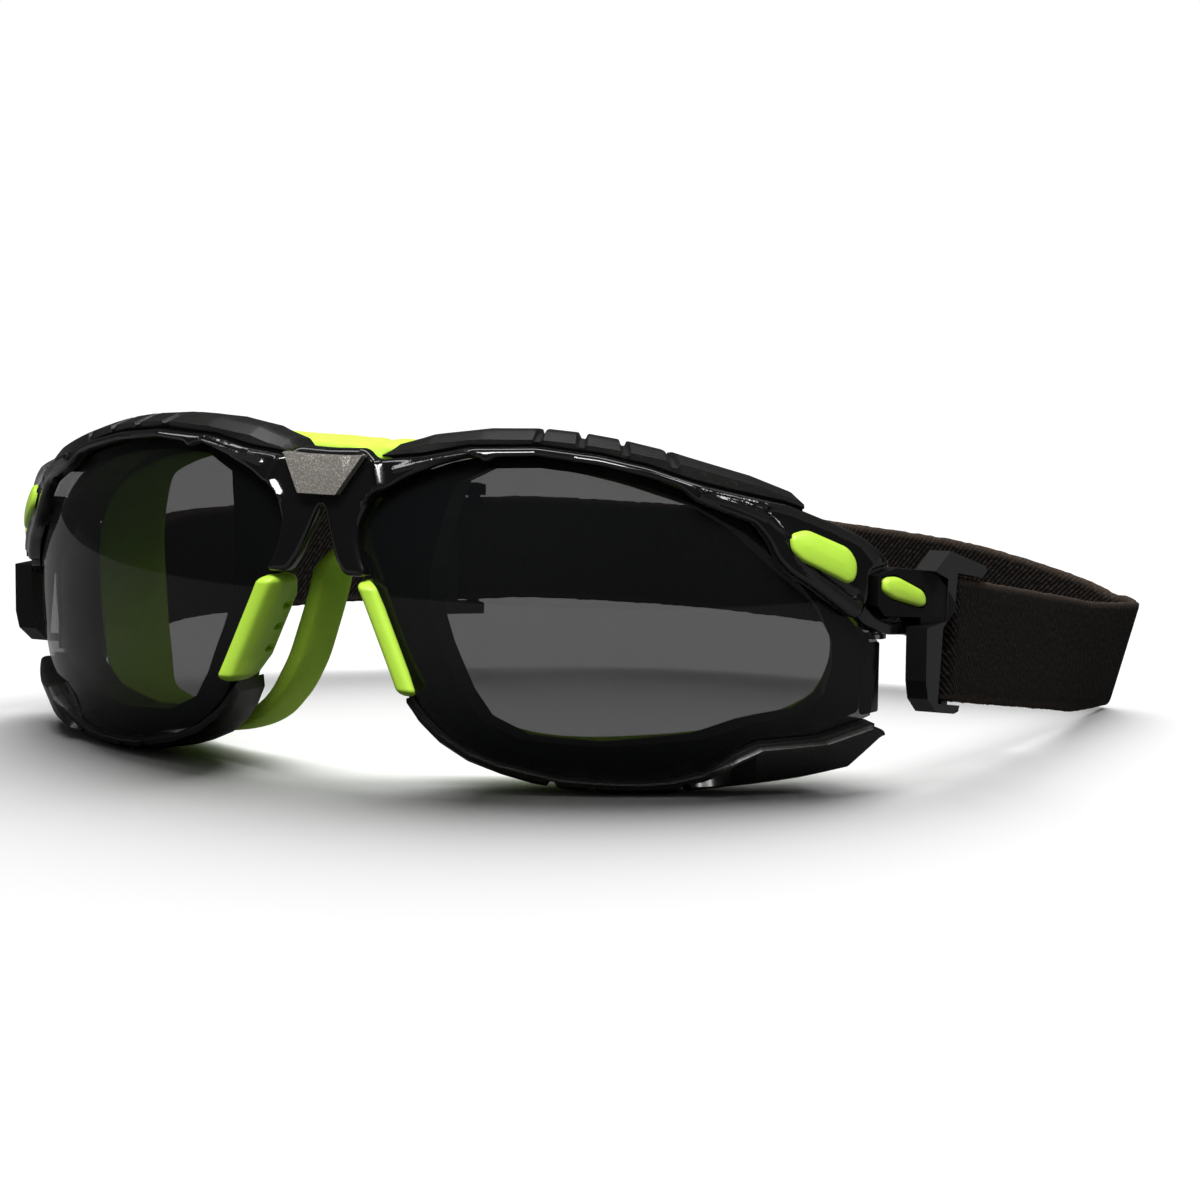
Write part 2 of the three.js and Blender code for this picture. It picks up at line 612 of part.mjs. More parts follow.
// Three-bar slider: the band passes outside the end bars and inside the middle bar.
function slider() {
  const clear = STRAP_THICKNESS / 2 + GAP;
  const face = clear + 1.4;
  const rail = STRAP_WIDTH / 2 + 0.5;
  const pieces = [
    box([-5.9, -face, rail], [5.9, face, rail + 1.9]),
    box([-5.9, -face, -rail - 1.9], [5.9, face, -rail]),
    box([-5.9, -face, -10], [-3.9, -clear, 10]),
    box([3.9, -face, -10], [5.9, -clear, 10]),
    box([-1, clear, -10], [1, face, 10]),
  ];
  const [x, y] = SLIDER.direction;
  return join(...pieces).rotateZ(Math.atan2(y, x)).translate(SLIDER.x, SLIDER.y, SLIDER.z);
}

// Assembly

function finish(color, roughness, metalness = 0) {
  return new THREE.MeshStandardMaterial({ color, roughness, metalness, side: THREE.DoubleSide });
}

const FINISHES = {
  smoke: finish('#2b2f33', 0.05),
  gloss: finish('#0b0c0c', 0.12),
  satin: finish('#1b1b1a', 0.42),
  graphite: finish('#5c5955', 0.4, 0.3),
  lime: finish('#8ed321', 0.5),
  foam: finish('#7fc41c', 0.85),
  clipBlack: finish('#1a1b1a', 0.5),
  webbing: finish('#161413', 0.95),
  steel: finish('#a9abad', 0.3, 1),
};

const goggles = new THREE.Group();
goggles.position.set(0, -DEPTH_CENTRE, 0);

function add(name, geometry, material) {
  const mesh = new THREE.Mesh(geometry, material);
  mesh.name = name;
  goggles.add(mesh);
}

function addPair(name, geometry, material) {
  add(`${name}_left`, geometry, material);
  add(`${name}_right`, mirrored(geometry), material);
}

add('front_frame', frontFrame(), FINISHES.gloss);
add('bridge_plate', bridgePlate(), FINISHES.graphite);
add('gasket_carrier', gasketCarrier(), FINISHES.satin);
add('face_seal', faceSeal(), FINISHES.foam);
addPair('lens', lens(), FINISHES.smoke);
addPair('brow_guard', browGuard(), FINISHES.satin);
addPair('lower_bumper', bumper(), FINISHES.satin);
addPair('nose_pad', nosePad(), FINISHES.lime);
addPair('end_inlay', plate(INLAY, FRAME_FACE + GAP, FRAME_FACE + 1.1), FINISHES.lime);
addPair('strap_clip', clip(), FINISHES.clipBlack);
addPair('release_button', releaseButton(), FINISHES.lime);
addPair('latch_leaf', latchLeaf(), FINISHES.steel);
addPair('hinge_pin', hingePin(), FINISHES.steel);
add('strap_band', strapBand(), FINISHES.webbing);
add('strap_end_left', strapEndLeft(), FINISHES.webbing);
add('strap_end_right', strapEndRight(), FINISHES.webbing);
add('strap_return', returnLayer(), FINISHES.webbing);
add('strap_slider', slider(), FINISHES.gloss);

export default goggles;
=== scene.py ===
import math

import bpy
import numpy as np
from mathutils import Matrix, Vector
from mathutils.geometry import delaunay_2d_cdt


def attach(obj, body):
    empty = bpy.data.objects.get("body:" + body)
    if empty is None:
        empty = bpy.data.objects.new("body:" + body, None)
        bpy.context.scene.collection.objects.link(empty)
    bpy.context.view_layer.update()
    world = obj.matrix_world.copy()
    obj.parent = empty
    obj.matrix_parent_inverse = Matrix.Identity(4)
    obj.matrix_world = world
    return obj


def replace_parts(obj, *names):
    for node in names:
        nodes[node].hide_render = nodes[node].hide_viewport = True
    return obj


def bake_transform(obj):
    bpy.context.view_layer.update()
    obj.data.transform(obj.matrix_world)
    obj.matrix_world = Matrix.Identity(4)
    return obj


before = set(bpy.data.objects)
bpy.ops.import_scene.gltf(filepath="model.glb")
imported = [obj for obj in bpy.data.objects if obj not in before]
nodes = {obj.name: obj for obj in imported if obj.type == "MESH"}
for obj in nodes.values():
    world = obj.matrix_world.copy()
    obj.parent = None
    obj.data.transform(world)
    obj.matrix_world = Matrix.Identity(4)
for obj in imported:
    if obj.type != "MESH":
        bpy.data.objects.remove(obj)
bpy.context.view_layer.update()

mm = 0.001
print("frame loaded:", len(nodes), "nodes")

# The lens face is a sphere on each side of the nose, carried straight across the bridge
face = {"radius": 66.0, "x": 12.5, "y": -7.8, "z": 23.4}


def wrap(u, z, d):
    # u = arc from the lens centre to the temple, z = height, d = distance out of the face, in mm
    level = np.sqrt((face["radius"] + d) ** 2 - (z - face["z"]) ** 2)
    turn = np.maximum(u, 0) / face["radius"]
    x = face["x"] + np.minimum(u, 0) + level * np.sin(turn)
    y = face["y"] - level * np.cos(turn)
    return np.stack(np.broadcast_arrays(x, y, z + 0 * x), -1)


def wrapAcross(v, z, d):
    # the same, with v measured from the middle of the nose
    points = wrap(np.abs(v) - face["x"], z, d)
    points[..., 0] *= np.where(v < 0, -1, 1)
    return points


# Outline tools: all outlines are closed lists of (along, up) in mm

def softened(points, cut=0.8, rounds=2):
    # every corner is replaced by two points, at most a set distance from it
    p = np.array(points, float)
    for k in range(rounds):
        reach = cut / (k + 1)
        before = np.roll(p, 1, 0) - p
        after = np.roll(p, -1, 0) - p
        lengthB = np.linalg.norm(before, axis=1, keepdims=True)
        lengthA = np.linalg.norm(after, axis=1, keepdims=True)
        left = p + before * np.minimum(0.3, reach / lengthB)
        right = p + after * np.minimum(0.3, reach / lengthA)
        p = np.stack([left, right], 1).reshape(-1, 2)
    return p


def divided(p, step, closed=True):
    # points at even distances along the line
    q = np.vstack([p, p[:1]]) if closed else np.array(p, float)
    run = np.concatenate([[0], np.cumsum(np.linalg.norm(np.diff(q, axis=0), axis=1))])
    count = max(3, int(round(run[-1] / step)))
    at = np.linspace(0, run[-1], count + (0 if closed else 1), endpoint=not closed)
    return np.stack([np.interp(at, run, q[:, k]) for k in range(q.shape[1])], 1)


def splineThrough(points, count, closed=False):
    # Catmull-Rom curve through the points, evenly spaced along its length
    p = np.array(points, float)
    if closed:
        p = np.vstack([p[-1:], p, p[:2]])
    else:
        p = np.vstack([2 * p[0] - p[1], p, 2 * p[-1] - p[-2]])
    spans = len(p) - 3
    t = np.linspace(0, spans, spans * 24 + 1)
    i = np.minimum(t.astype(int), spans - 1)
    f = (t - i)[:, None]
    a, b, c, d = p[i], p[i + 1], p[i + 2], p[i + 3]
    fine = 0.5 * (2 * b + (c - a) * f + (2 * a - 5 * b + 4 * c - d) * f ** 2
                  + (3 * b - a - 3 * c + d) * f ** 3)
    run = np.concatenate([[0], np.cumsum(np.linalg.norm(np.diff(fine, axis=0), axis=1))])
    at = np.linspace(0, run[-1], count, endpoint=not closed)
    return np.stack([np.interp(at, run, fine[:, k]) for k in range(p.shape[1])], 1)


def lineDistance(p, line, closed=True):
    # shortest distance from each point to the line
    a = line if closed else line[:-1]
    b = np.roll(line, -1, 0) if closed else line[1:]
    ab = b - a
    t = ((p[:, None] - a) * ab).sum(-1) / np.maximum((ab ** 2).sum(-1), 1e-12)
    nearest = a + np.clip(t, 0, 1)[..., None] * ab
    return np.linalg.norm(p[:, None] - nearest, axis=-1).min(1)


def insideOf(p, line):
    # even-odd rule
    a, b = line, np.roll(line, -1, 0)
    up = (a[:, 1] > p[:, 1:]) != (b[:, 1] > p[:, 1:])
    slope = (b[:, 0] - a[:, 0]) / np.where(b[:, 1] == a[:, 1], 1e-9, b[:, 1] - a[:, 1])
    return (up & (p[:, :1] < a[:, 0] + slope * (p[:, 1:] - a[:, 1]))).sum(1) % 2 == 1


# Mesh tools

def makePiece(name, points, faces, material, angle=32, uv=None):
    # a closed mesh in mm, turned so that its faces point outwards
    tri = np.array([[f[0], f[k], f[k + 1]] for f in faces for k in range(1, len(f) - 1)])
    a, b, c = points[tri[:, 0]], points[tri[:, 1]], points[tri[:, 2]]
    if (a * np.cross(b, c)).sum() < 0:
        faces = [f[::-1] for f in faces]
    mesh = bpy.data.meshes.new(name)
    mesh.from_pydata(points * mm, [], faces)
    mesh.shade_smooth()
    mesh.set_sharp_from_angle(angle=math.radians(angle))
    if uv is not None:
        layer = mesh.uv_layers.new(name="UVMap")
        corner = np.empty(len(mesh.loops), np.int32)
        mesh.loops.foreach_get("vertex_index", corner)
        layer.data.foreach_set("uv", uv[corner].astype(np.float32).ravel())
    mesh.materials.append(material)
    piece = bpy.data.objects.new(name, mesh)
    bpy.context.scene.collection.objects.link(piece)
    return piece


def tubePiece(name, rings, material, loop=False, angle=32, uv=None):
    # rings of points joined one to the next, rings[i, j]; an open run is closed by its end rings
    n, m = rings.shape[:2]
    i = np.arange(n if loop else n - 1)[:, None]
    j = np.arange(m)[None]
    k, l = (i + 1) % n, (j + 1) % m
    quads = np.stack(np.broadcast_arrays(i * m + j, k * m + j, k * m + l, i * m + l), -1)
    faces = quads.reshape(-1, 4).tolist()
    if not loop:
        faces += [list(range(m)), list(range(n * m - 1, (n - 1) * m - 1, -1))]
    return makePiece(name, rings.reshape(-1, 3), faces, material, angle, uv)


def besideLine(line, offsets, step):
    # rows of points along an open line, each at its own distance to the side
    row = divided(np.array(line, float), step, closed=False)
    ahead = np.gradient(row, axis=0)
    normal = np.stack([-ahead[:, 1], ahead[:, 0]], 1) / np.linalg.norm(ahead, axis=1, keepdims=True)
    return np.vstack([row + normal * offset for offset in offsets])


def reliefPiece(name, outline, back, height, material, place=wrap, step=0.6, side=1, angle=32, guides=None):
    # the outline filled with triangles: the front stands at height(points, edge distance), the
    # back at one depth, and a wall joins them; guides are extra points along the creases
    ahead = np.roll(outline, -1, 0) - np.roll(outline, 1, 0)
    inward = np.stack([-ahead[:, 1], ahead[:, 0]], 1) / np.linalg.norm(ahead, axis=1, keepdims=True)
    turnSum = (outline[:, 0] * np.roll(outline[:, 1], -1)
               - np.roll(outline[:, 0], -1) * outline[:, 1]).sum()
    inward *= 1 if turnSum > 0 else -1
    extra = []
    for offset in (0.12, 0.3, 0.55, 0.85):
        row = outline + inward * offset
        extra.append(row[insideOf(row, outline) & (lineDistance(row, outline) > offset * 0.85)])
    low, high = outline.min(0), outline.max(0)
    grid = np.stack(np.meshgrid(np.arange(low[0], high[0], step), np.arange(low[1], high[1], step)), -1)
    grid = grid.reshape(-1, 2)
    grid = grid[insideOf(grid, outline)]
    grid = grid[lineDistance(grid, outline) > 1.15]
    if guides is not None:
        guides = guides[insideOf(guides, outline) & (lineDistance(guides, outline) > 0.2)]
        apart = np.linalg.norm(grid[:, None] - guides[None], axis=-1).min(1)
        extra += [guides, grid[apart > step * 0.8]]
    else:
        extra.append(grid)
    every = np.vstack([outline] + extra)
    count = len(outline)
    edges = [(k, (k + 1) % count) for k in range(count)]
    flat, _, tris, _, _, _ = delaunay_2d_cdt([Vector(p) for p in every], edges, [], 1, 1e-4)
    flat = np.array([tuple(p) for p in flat])
    tris = np.array(tris)
    distance = lineDistance(flat, outline)
    front = place(flat[:, 0], flat[:, 1], height(flat, distance))
    rear = place(flat[:, 0], flat[:, 1], np.full(len(flat), back))
    points = np.vstack([front, rear])
    points[:, 0] *= side
    half = np.vstack([tris[:, [0, 1]], tris[:, [1, 2]], tris[:, [2, 0]]])
    keys = half[:, 0] * len(flat) + half[:, 1]
    lone = half[~np.isin(keys, half[:, 1] * len(flat) + half[:, 0])]
    n = len(flat)
    walls = np.stack([lone[:, 1], lone[:, 0], lone[:, 0] + n, lone[:, 1] + n], 1)
    faces = tris.tolist() + (tris[:, ::-1] + n).tolist() + walls.tolist()
    return makePiece(name, points, faces, material, angle)


def roundedEdge(distance, radius):
    # how far a quarter-round edge lies below the top
    t = np.clip(1 - distance / radius, 0, 1)
    return radius * (1 - np.sqrt(1 - t ** 2))


def addBevel(piece, width, segments=2, angle=35, weld=False):
    if weld:
        piece.modifiers.new("join", "WELD").merge_threshold = 0.00001
    bevel = piece.modifiers.new("edges", "BEVEL")
    bevel.width = width * mm
    bevel.segments = segments
    bevel.limit_method = "ANGLE"
    bevel.angle_limit = math.radians(angle)
    bevel.harden_normals = True
    return piece


# Material tools

def linear(hexText):
    parts = [int(hexText[k:k + 2], 16) / 255 for k in (1, 3, 5)]
    return tuple(c / 12.92 if c <= 0.04045 else ((c + 0.055) / 1.055) ** 2.4 for c in parts) + (1,)


def addNode(tree, kind, settings=None, links=None):
    # inputs are set and linked by their name or number, everything else is a property
    node = tree.nodes.new(kind)
    for key, value in (settings or {}).items():
        if isinstance(key, int) or key in node.inputs:
            node.inputs[key].default_value = value
        else:
            setattr(node, key, value)
    for key, socket in (links or {}).items():
        tree.links.new(socket, node.inputs[key])
    return node


def newMaterial(name, settings):
    material = bpy.data.materials.new(name)
    material.use_nodes = True
    tree = material.node_tree
    tree.nodes.clear()
    shader = addNode(tree, "ShaderNodeBsdfPrincipled", settings)
    addNode(tree, "ShaderNodeOutputMaterial", None, {"Surface": shader.outputs[0]})
    coords = addNode(tree, "ShaderNodeTexCoord")
    return material, tree, shader, coords


def addNoise(tree, coords, scale, detail):
    return addNode(tree, "ShaderNodeTexNoise", {"Scale": scale, "Detail": detail},
                   {"Vector": coords.outputs["Object"]})


def addMath(tree, operation, settings, links):
    return addNode(tree, "ShaderNodeMath", {"operation": operation, **settings}, links)


def addBump(tree, shader, heightSocket, distance, strength=1.0, under=None):
    # a bump of the given depth in mm
    links = {"Height": heightSocket}
    if under is not None:
        links["Normal"] = under.outputs[0]
    bump = addNode(tree, "ShaderNodeBump", {"Strength": strength, "Distance": distance * mm}, links)
    tree.links.new(bump.outputs[0], shader.inputs["Normal"])
    return bump


def spread(tree, socket, stops):
    # a colour ramp through (place, hex) stops
    ramp = addNode(tree, "ShaderNodeValToRGB", None, {"Fac": socket})
    elements = ramp.color_ramp.elements
    while len(elements) < len(stops):
        elements.new(0.5)
    for element, (place, tone) in zip(elements, stops):
        element.position = place
        element.color = linear(tone)
    return ramp


# Polished smoke polycarbonate: each of the two faces lets about a third of the light through,
# so that what lies behind shows darkly and the face mirrors the room
lensLook = {"tone": "#14171a", "clear": 0.29, "roughness": 0.03}
smokePolycarbonate, tree, shader, coords = newMaterial("smokePolycarbonate", {
    "Base Color": linear(lensLook["tone"]), "Alpha": 1 - lensLook["clear"],
    "Roughness": lensLook["roughness"], "IOR": 1.585, "Specular IOR Level": 0.3})
haze = addNoise(tree, coords, 14.0, 2.0)
tone = spread(tree, haze.outputs[0], [(0.35, "#090a0b"), (0.65, "#0f1011")])
tree.links.new(tone.outputs[0], shader.inputs["Base Color"])

# Polished black nylon: a tight highlight over a faint moulding ripple
glossNylon, tree, shader, coords = newMaterial("polishedBlackNylon", {
    "Base Color": linear("#0a0a0b"), "Roughness": 0.13, "IOR": 1.53,
    "Coat Weight": 0.35, "Coat Roughness": 0.06})
ripple = addNoise(tree, coords, 260.0, 2.0)
addBump(tree, shader, ripple.outputs[0], 0.035)
dust = addNoise(tree, coords, 90.0, 4.0)
rough = addNode(tree, "ShaderNodeMapRange",
                {"From Min": 0.3, "From Max": 0.7, "To Min": 0.1, "To Max": 0.2},
                {"Value": dust.outputs[0]})
tree.links.new(rough.outputs[0], shader.inputs["Roughness"])


def flakedPlastic(name, base, flake, share, roughness):
    # moulded plastic with metal flakes 0.3 mm apart, drawn coarse enough to show as a sparkle
    material, tree, shader, coords = newMaterial(name, {"Roughness": roughness, "IOR": 1.5})
    cells = addNode(tree, "ShaderNodeTexVoronoi", {"Scale": 6500.0}, {"Vector": coords.outputs["Object"]})
    pick = addNode(tree, "ShaderNodeSeparateColor", None, {"Color": cells.outputs["Color"]})
    shine = addNode(tree, "ShaderNodeMapRange", {"From Min": 1 - share, "From Max": 1.0},
                    {"Value": pick.outputs[0]})
    blend = addNode(tree, "ShaderNodeMix", {"data_type": "RGBA", 6: linear(base), 7: linear(flake)},
                    {0: shine.outputs[0]})
    tree.links.new(blend.outputs[2], shader.inputs["Base Color"])
    tree.links.new(shine.outputs[0], shader.inputs["Metallic"])
    grain = addNoise(tree, coords, 2600.0, 2.0)
    addBump(tree, shader, grain.outputs[0], 0.03)
    return material


satinBlack = flakedPlastic("satinFlakedPlastic", "#0a0a09", "#4c4a45", 0.07, 0.36)
graphitePlate = flakedPlastic("graphiteFlakedPlastic", "#605d58", "#bcb8b0", 0.3, 0.42)

# Moulded black nylon with a fine spark-eroded grain: a broad dull highlight
matteNylon, tree, shader, coords = newMaterial("grainedBlackNylon", {
    "Base Color": linear("#0b0b0b"), "Roughness": 0.42, "IOR": 1.53, "Specular IOR Level": 0.2})
grain = addNoise(tree, coords, 2200.0, 3.0)
addBump(tree, shader, grain.outputs[0], 0.05)
wear = addNoise(tree, coords, 120.0, 4.0)
tone = spread(tree, wear.outputs[0], [(0.3, "#050505"), (0.7, "#0a0a0a")])
tree.links.new(tone.outputs[0], shader.inputs["Base Color"])


# Plain black moulding seen through the lens: satin, with hardly any grain
satinCarrier, tree, shader, coords = newMaterial("smoothBlackMoulding", {
    "Base Color": linear("#0c0d0d"), "Roughness": 0.34, "IOR": 1.5})
flow = addNoise(tree, coords, 150.0, 2.0)
addBump(tree, shader, flow.outputs[0], 0.02)


def limeMaterial(name, dark, light, roughness, grainScale, grainDepth, scatter):
    # soft lime elastomer: light sinks in a little, and the skin has a fine grain
    material, tree, shader, coords = newMaterial(name, {
        "Roughness": roughness, "IOR": 1.45, "Subsurface Weight": scatter, "Subsurface Scale": 0.0012})
    shader.inputs["Subsurface Radius"].default_value = (0.5, 1.0, 0.1)
    cloud = addNoise(tree, coords, 70.0, 3.0)
    tone = spread(tree, cloud.outputs[0], [(0.3, dark), (0.7, light)])
    tree.links.new(tone.outputs[0], shader.inputs["Base Color"])
    grain = addNoise(tree, coords, grainScale, 3.0)
    addBump(tree, shader, grain.outputs[0], grainDepth)
    return material


limeRubber = limeMaterial("limeElastomer", "#add83e", "#b9e44a", 0.42, 1400.0, 0.03, 0.12)
limeFoam = limeMaterial("limeClosedCellFoam", "#b0dc3c", "#c0e84a", 0.78, 1900.0, 0.12, 0.1)
limeGloss = limeMaterial("limeGlossPlastic", "#b2dc44", "#bfe650", 0.28, 900.0, 0.015, 0.05)

# Elastic webbing: fine twill ribs lie on a slant, broken up by loose fibres, and the selvedges
# carry lighter brown fuzz. The UV map is in mm: along the band, and across it from its lower edge
webLook = {"rib": 0.8, "width": 18.4, "selvedge": 1.3, "slant": 0.75, "sway": 0.5, "fibres": 8.0}
webbing, tree, shader, coords = newMaterial("wovenElasticWebbing", {
    "Roughness": 0.92, "IOR": 1.4, "Specular IOR Level": 0.06,
    "Sheen Weight": 0.015, "Sheen Roughness": 0.5})
uvMap = addNode(tree, "ShaderNodeUVMap", {"uv_map": "UVMap"})
split = addNode(tree, "ShaderNodeSeparateXYZ", None, {0: uvMap.outputs[0]})
slant = addMath(tree, "MULTIPLY_ADD", {1: webLook["slant"]}, {0: split.outputs[1], 2: split.outputs[0]})
fuzz = addNode(tree, "ShaderNodeTexNoise", {"Scale": 1.3, "Detail": 6.0, "Roughness": 0.8},
               {"Vector": uvMap.outputs[0]})
swayed = addMath(tree, "MULTIPLY_ADD", {1: webLook["sway"]}, {0: fuzz.outputs[0], 2: slant.outputs[0]})
ribTurn = addMath(tree, "MULTIPLY", {1: 2 * math.pi / webLook["rib"]}, {0: swayed.outputs[0]})
ribWave = addMath(tree, "SINE", {}, {0: ribTurn.outputs[0]})
weave = addMath(tree, "MULTIPLY_ADD", {1: webLook["fibres"]}, {0: fuzz.outputs[0], 2: ribWave.outputs[0]})
weaveTone = addNode(tree, "ShaderNodeMapRange", {"From Min": 1.6, "From Max": 6.6},
                    {"Value": weave.outputs[0]})
cloth = spread(tree, weaveTone.outputs[0], [(0.15, "#020202"), (0.5, "#0c0a09"), (0.9, "#38312c")])
middle = addMath(tree, "SUBTRACT", {1: webLook["width"] / 2}, {0: split.outputs[1]})
fromMiddle = addMath(tree, "ABSOLUTE", {}, {0: middle.outputs[0]})
edgeShare = addNode(tree, "ShaderNodeMapRange",
                    {"From Min": webLook["width"] / 2 - webLook["selvedge"], "From Max": webLook["width"] / 2},
                    {"Value": fromMiddle.outputs[0]})
edgeFuzz = addMath(tree, "MULTIPLY", {}, {0: edgeShare.outputs[0], 1: fuzz.outputs[0]})
clothEdge = addNode(tree, "ShaderNodeMix", {"data_type": "RGBA", 7: linear("#54483f")},
                    {0: edgeFuzz.outputs[0], 6: cloth.outputs[0]})
tree.links.new(clothEdge.outputs[2], shader.inputs["Base Color"])
addBump(tree, shader, weave.outputs[0], 0.04)

# Drawn steel: fine lines along the pin
drawnSteel, tree, shader, coords = newMaterial("drawnSteel", {
    "Base Color": linear("#b4b5b6"), "Metallic": 1.0, "Roughness": 0.28})
lines = addNoise(tree, coords, 1500.0, 2.0)
addBump(tree, shader, lines.outputs[0], 0.01)
print("materials made")

# Camera and stage
view = {"azimuth": 25.12, "elevation": 6.44, "roll": 1.02, "distance": 0.55,
        "target": (0.02583, -0.03424, 0.0242), "lens": 109.53}
a, e, r = (math.radians(view[k]) for k in ("azimuth", "elevation", "roll"))
back = Vector((math.sin(a) * math.cos(e), -math.cos(a) * math.cos(e), math.sin(e)))
across = Vector((math.cos(a), math.sin(a), 0))
upward = back.cross(across)
right = across * math.cos(r) + upward * math.sin(r)
top = upward * math.cos(r) - across * math.sin(r)
camera = bpy.data.objects.new("camera", bpy.data.cameras.new("camera"))
camera.data.lens = view["lens"]
camera.data.sensor_width = 36
camera.data.clip_start = 0.01
turned = Matrix((right, top, back)).transposed().to_4x4()
turned.translation = Vector(view["target"]) + back * view["distance"]
camera.matrix_world = turned
bpy.context.scene.collection.objects.link(camera)
bpy.context.scene.camera = camera
bpy.context.scene.view_settings.view_transform = "Standard"

world = bpy.data.worlds.new("studio")
bpy.context.scene.world = world
world.use_nodes = True
backdrop = world.node_tree.nodes["Background"]
backdrop.inputs[0].default_value = (1, 1, 1, 1)
# the room is dim, and the camera sees a white wall in its place
sight = addNode(world.node_tree, "ShaderNodeLightPath")
roomLook = {"dim": 0.045, "wall": 1.0}
room = addNode(world.node_tree, "ShaderNodeMapRange", {"To Min": roomLook["dim"], "To Max": roomLook["wall"]},
               {"Value": sight.outputs["Is Camera Ray"]})
world.node_tree.links.new(room.outputs[0], backdrop.inputs[1])

# all lamps hang high, so that the lenses don't mirror them: x, y, z, width, height, watts
lampPlan = {"frontTop": (0.12, -0.62, 0.9, 0.7, 0.35, 17.0), "backTop": (0.0, 0.35, 0.8, 0.8, 0.2, 1.8),
            "highLeft": (-0.6, -0.15, 0.75, 0.2, 0.5, 1.5), "highRight": (0.7, -0.1, 0.85, 0.2, 0.5, 3.6)}
lampLit = bpy.data.collections.new("lampLit")
for name, (x, y, z, width, height, watts) in lampPlan.items():
    lamp = bpy.data.objects.new(name, bpy.data.lights.new(name, "AREA"))
    lamp.data.shape = "RECTANGLE"
    lamp.data.size = width
    lamp.data.size_y = height
    lamp.data.energy = watts
    lamp.location = (x, y, z)
    lamp.rotation_euler = (Vector((0, 0, 0.02)) - Vector((x, y, z))).to_track_quat("-Z", "Y").to_euler()
    lamp.light_linking.receiver_collection = lampLit
    bpy.context.scene.collection.objects.link(lamp)

# one broad sky light keeps the whole floor evenly pale
sky = bpy.data.objects.new("sky", bpy.data.lights.new("sky", "SUN"))
sky.data.energy = 4.6
sky.data.angle = math.radians(70)
sky.rotation_euler = Vector((-0.15, 0.75, 0.85)).to_track_quat("Z", "Y").to_euler()
bpy.context.scene.collection.objects.link(sky)

# pale floor: a wide disc
floorPlan = {"rings": (0.3, 1.0, 3.0, 9.0), "sides": 64, "z": -0.0003}
ringRadius = np.array(floorPlan["rings"])[:, None]
spin = np.linspace(0, 2 * math.pi, floorPlan["sides"], endpoint=False)[None]
floorPoints = np.stack(
    np.broadcast_arrays(ringRadius * np.cos(spin), ringRadius * np.sin(spin), floorPlan["z"]), -1)
index = np.arange(floorPoints[..., 0].size).reshape(floorPoints.shape[:2])
nextOne = np.roll(index, -1, 1)
floorFaces = np.stack([index[:-1], index[1:], nextOne[1:], nextOne[:-1]], -1).reshape(-1, 4)
floorMesh = bpy.data.meshes.new("floor")
floorMesh.from_pydata(floorPoints.reshape(-1, 3), [], floorFaces.tolist() + [list(range(floorPlan["sides"]))])
# the paper is white to the camera and dim to the object, which would mirror it otherwise
paperLook = {"seen": 0.93, "mirrored": 0.2}
floorLook, tree, shader, coords = newMaterial("matteBackdropPaper", {"Roughness": 0.95})
sight = addNode(tree, "ShaderNodeLightPath")
paper = addNode(tree, "ShaderNodeMapRange", {"To Min": paperLook["mirrored"], "To Max": paperLook["seen"]},
                {"Value": sight.outputs["Is Camera Ray"]})
tree.links.new(paper.outputs[0], shader.inputs["Base Color"])
floorMesh.materials.append(floorLook)
floor = bpy.data.objects.new("floor", floorMesh)
bpy.context.scene.collection.objects.link(floor)
# the sky light reaches the floor alone
lit = bpy.data.collections.new("skyLit")
lit.objects.link(floor)
sky.light_linking.receiver_collection = lit
lampLit.objects.link(floor)
lampLit.collection_objects[0].light_linking.link_state = "EXCLUDE"
print("camera and stage made")

# Lenses: a grid between the lower and the upper edge, on the sphere, closed by a rear face
lensPlan = {
    "thickness": 2.2, "across": 96, "up": 44,
    "top": [(-7.6, 37.5), (-5.6, 41.4), (0.2, 45.2), (5.4, 46.9), (12, 48.2), (20, 48.5), (29.5, 47.5),
            (36.8, 45.9), (44, 43.4), (52, 40.4), (59, 36.8), (65, 32), (68.6, 27.6), (69.9, 24.6),
            (73.4, 21.4)],
    "under": [(2.6, 14), (3.8, 11.6), (6.4, 8.9), (10.5, 6.2), (15.3, 4.5), (24.3, 2.6), (30, 2.2),
              (36.5, 2.1), (41, 2.4), (46, 3.4), (50.6, 6.4), (54, 7.9), (64.7, 8.3),
              (72.4, 10.1), (73.4, 10.4)],
}


def makeLens(name, side):
    lower = splineThrough(lensPlan["under"], lensPlan["across"])[:, None]
    upper = splineThrough(lensPlan["top"], lensPlan["across"])[:, None]
    t = np.linspace(0, 1, lensPlan["up"])[None, :, None]
    column = lower + (upper - lower) * t
    front = wrap(column[..., 0], column[..., 1], np.zeros(column.shape[:2]))
    rear = wrap(column[..., 0], column[..., 1], np.full(column.shape[:2], -lensPlan["thickness"]))
    n, m = front.shape[:2]
    points = np.vstack([front.reshape(-1, 3), rear.reshape(-1, 3)])
    points[:, 0] *= side
    at = np.arange(n * m).reshape(n, m)
    skin = np.stack([at[:-1, :-1], at[1:, :-1], at[1:, 1:], at[:-1, 1:]], -1).reshape(-1, 4)
    rim = np.concatenate([at[:, 0], at[-1, 1:], at[-2::-1, -1], at[0, -2:0:-1]])
    wall = np.stack([np.roll(rim, -1), rim, rim + n * m, np.roll(rim, -1) + n * m], 1)
    faces = skin.tolist() + (skin[:, ::-1] + n * m).tolist() + wall.tolist()
    piece = makePiece(name, points, faces, smokePolycarbonate)
    addBevel(piece, 0.35, 3, 50)
    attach(piece, "frame")
    return piece


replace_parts(makeLens("smokeLensLeft", 1), "lens_left")
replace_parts(makeLens("smokeLensRight", -1), "lens_right")
print("lenses made")

